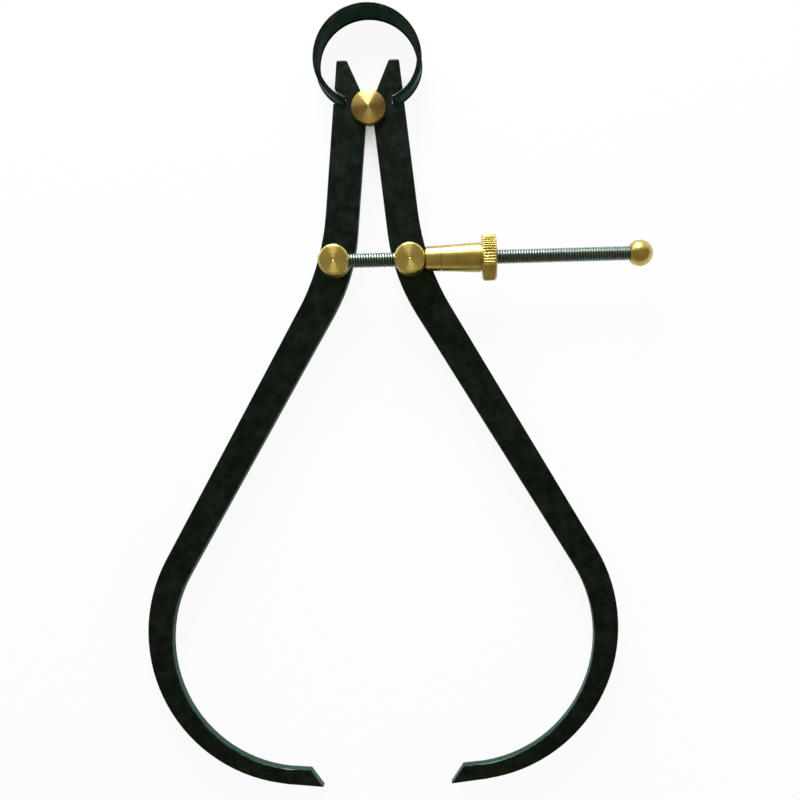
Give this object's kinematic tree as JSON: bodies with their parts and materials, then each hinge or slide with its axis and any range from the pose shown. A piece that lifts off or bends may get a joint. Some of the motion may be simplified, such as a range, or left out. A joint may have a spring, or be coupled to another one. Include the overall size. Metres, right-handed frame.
{
  "type": "spring caliper",
  "caption": "Outside spring caliper with bowed legs, a bow spring over a roller fulcrum and a knurled nut on a threaded rod that sets the jaw.",
  "frame": {"origin": "on the fulcrum axis, at the flat rear end of the fulcrum roller", "axes": "+Z out of the face of the caliper along the fulcrum axis, +Y from the fulcrum towards the bow spring, +X towards the ball end of the screw"},
  "size_m": [0.115, 0.1751, 0.0143],
  "materials": {
    "blackened_steel": "oil-blackened, satin",
    "spring_steel": "oil-blackened, satin",
    "brass": "turned, bright",
    "screw_steel": "zinc plated, dull"
  },
  "bodies": {
    "fulcrum": {"fulcrum_roller": "brass"},
    "left_leg": {"left_leg": "blackened_steel"},
    "right_leg": {"right_leg": "blackened_steel"},
    "bow": {"bow_spring": "spring_steel"},
    "screw": {"left_post": "brass", "adjusting_screw": "screw_steel", "end_ball": "brass"},
    "right_post": {"right_post": "brass"},
    "collar": {"thrust_collar": "brass"},
    "nut": {"adjusting_nut": "brass"}
  },
  "joints": [
    {"name": "left_leg_swing", "type": "hinge", "parent": "fulcrum", "child": "left_leg", "pos_m": [0, 0, 0.0041], "axis": [0, 0, -1], "range_deg": [-5.2, 22.3]},
    {"name": "right_leg_swing", "type": "hinge", "parent": "fulcrum", "child": "right_leg", "pos_m": [0, 0, 0.0041], "axis": [0, 0, 1], "range_deg": [-5.2, 22.3]},
    {"name": "bow_lift", "type": "slide", "parent": "fulcrum", "child": "bow", "axis": [0, 1, 0], "range_m": [-0.00064, 0.00273]},
    {"name": "left_post_swivel", "type": "hinge", "parent": "left_leg", "child": "screw", "pos_m": [-0.0084, -0.0345, 0.0041], "axis": [0, 0, 1], "range_deg": [-5.2, 22.3]},
    {"name": "right_post_swivel", "type": "hinge", "parent": "right_leg", "child": "right_post", "pos_m": [0.0084, -0.0345, 0.0041], "axis": [0, 0, -1], "range_deg": [-5.2, 22.3]},
    {"name": "collar_slide", "type": "slide", "parent": "screw", "child": "collar", "axis": [1, 0, 0], "range_m": [-0.0063, 0.0269]},
    {"name": "nut_spin", "type": "hinge", "parent": "collar", "child": "nut", "pos_m": [0.02, -0.0345, 0.0091], "axis": [1, 0, 0], "continuous": true}
  ],
  "couplings": [
    {"joint": "right_leg_swing", "follows": "left_leg_swing", "ratio": 1},
    {"joint": "bow_lift", "follows": "left_leg_swing", "m_per_rad": 0.007},
    {"joint": "left_post_swivel", "follows": "left_leg_swing", "ratio": 1},
    {"joint": "right_post_swivel", "follows": "left_leg_swing", "ratio": 1},
    {"joint": "collar_slide", "follows": "left_leg_swing", "m_per_rad": 0.069},
    {"joint": "nut_spin", "follows": "left_leg_swing", "ratio": 734.81}
  ]
}
